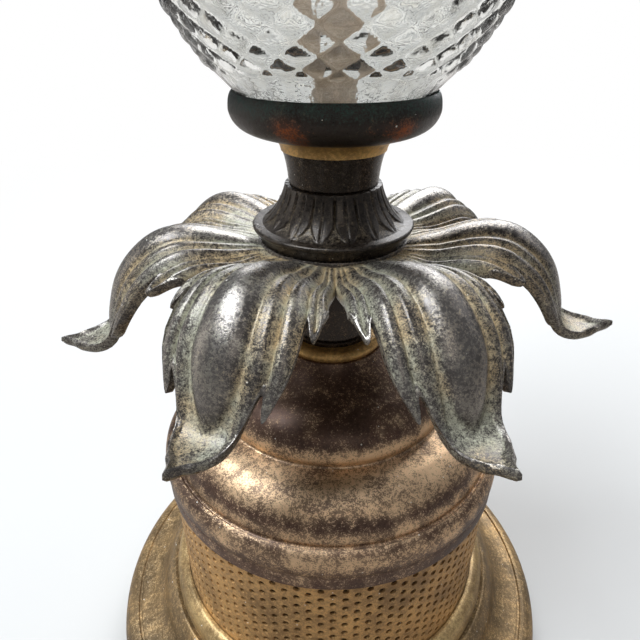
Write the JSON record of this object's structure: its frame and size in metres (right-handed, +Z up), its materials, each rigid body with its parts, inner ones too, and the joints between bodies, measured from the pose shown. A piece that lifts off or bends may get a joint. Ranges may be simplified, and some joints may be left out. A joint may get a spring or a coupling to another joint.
{
  "type": "table lamp",
  "caption": "Old table lamp: stepped base, perforated drum, bell cover, cast leaf crown and a diamond point glass body, with a switched socket and a harp but no shade.",
  "frame": {"origin": "centre of the underside of the felt pad", "axes": "+Z up along the stem, -Y the front with the switch knob, +Y the back with the cord inlet"},
  "size_m": [0.194, 0.194, 0.7238],
  "materials": {
    "felt": "green wool felt",
    "base_metal": "worn bronze-gold lacquer on spun steel",
    "weight_iron": "rough cast iron",
    "washer_steel": "zinc plated",
    "nut_brass": "plain brass",
    "bushing_plastic": "black nylon",
    "ring_brass": "worn gold lacquer",
    "drum_brass": "dull lacquered brass sheet",
    "bell_metal": "dark bronze finish worn to gold",
    "bead_gold": "mottled antique gold",
    "dark_bronze": "near black bronze",
    "leaf_metal": "antique bronze casting with pale dust in the grooves",
    "cup_metal": "verdigris over dark bronze",
    "cork": "cork and rubber sheet",
    "clear_glass": "clear pressed glass",
    "tube_metal": "tarnished plated tube",
    "rod_steel": "zinc plated steel",
    "harp_brass": "tarnished brass plate",
    "socket_brass": "aged brass",
    "liner_paper": "fibre liner",
    "core_ceramic": "unglazed porcelain",
    "contact_brass": "plain brass",
    "knob_plastic": "dark brown phenolic"
  },
  "bodies": {
    "lamp": {"felt_pad": "felt", "base_shell": "base_metal", "base_weight": "weight_iron", "bottom_washer": "washer_steel", "bottom_nut": "nut_brass", "cord_bushing": "bushing_plastic", "base_ring": "ring_brass", "perforated_band": "drum_brass", "bell_cover": "bell_metal", "bead_ring": "bead_gold", "spindle_sleeve": "dark_bronze", "leaf_crown": "leaf_metal", "leaf_collar": "dark_bronze", "neck_cone": "dark_bronze", "gold_cove": "bead_gold", "lower_cup": "cup_metal", "lower_gasket": "cork", "glass_body": "clear_glass", "centre_tube": "tube_metal", "threaded_rod": "rod_steel", "upper_gasket": "cork", "upper_cup": "cup_metal", "upper_neck": "dark_bronze", "harp_saddle": "harp_brass", "saddle_washer": "washer_steel", "saddle_nut": "nut_brass", "socket_cap": "socket_brass", "socket_insulator": "liner_paper", "socket_shell": "socket_brass", "socket_core": "core_ceramic", "screw_shell": "contact_brass", "centre_contact": "contact_brass", "terminal_screws": "contact_brass", "harp": "harp_brass"},
    "switch": {"switch_stem": "rod_steel", "switch_knob": "knob_plastic"},
    "left_lock": {"ferrule_left": "harp_brass"},
    "right_lock": {"ferrule_right": "harp_brass"},
    "top_knob": {"finial": "bead_gold"}
  },
  "joints": [
    {"name": "knob_turn", "type": "hinge", "parent": "lamp", "child": "switch", "pos_m": [0, -0.024, 0.4909], "axis": [0, -1, 0], "continuous": true},
    {"name": "left_ferrule_lift", "type": "slide", "parent": "lamp", "child": "left_lock", "axis": [0, 0, 1], "range_m": [0, 0.009]},
    {"name": "right_ferrule_lift", "type": "slide", "parent": "lamp", "child": "right_lock", "axis": [0, 0, 1], "range_m": [0, 0.009]},
    {"name": "finial_turn", "type": "hinge", "parent": "lamp", "child": "top_knob", "pos_m": [0, 0, 0.7049], "axis": [0, 0, 1], "continuous": true}
  ]
}
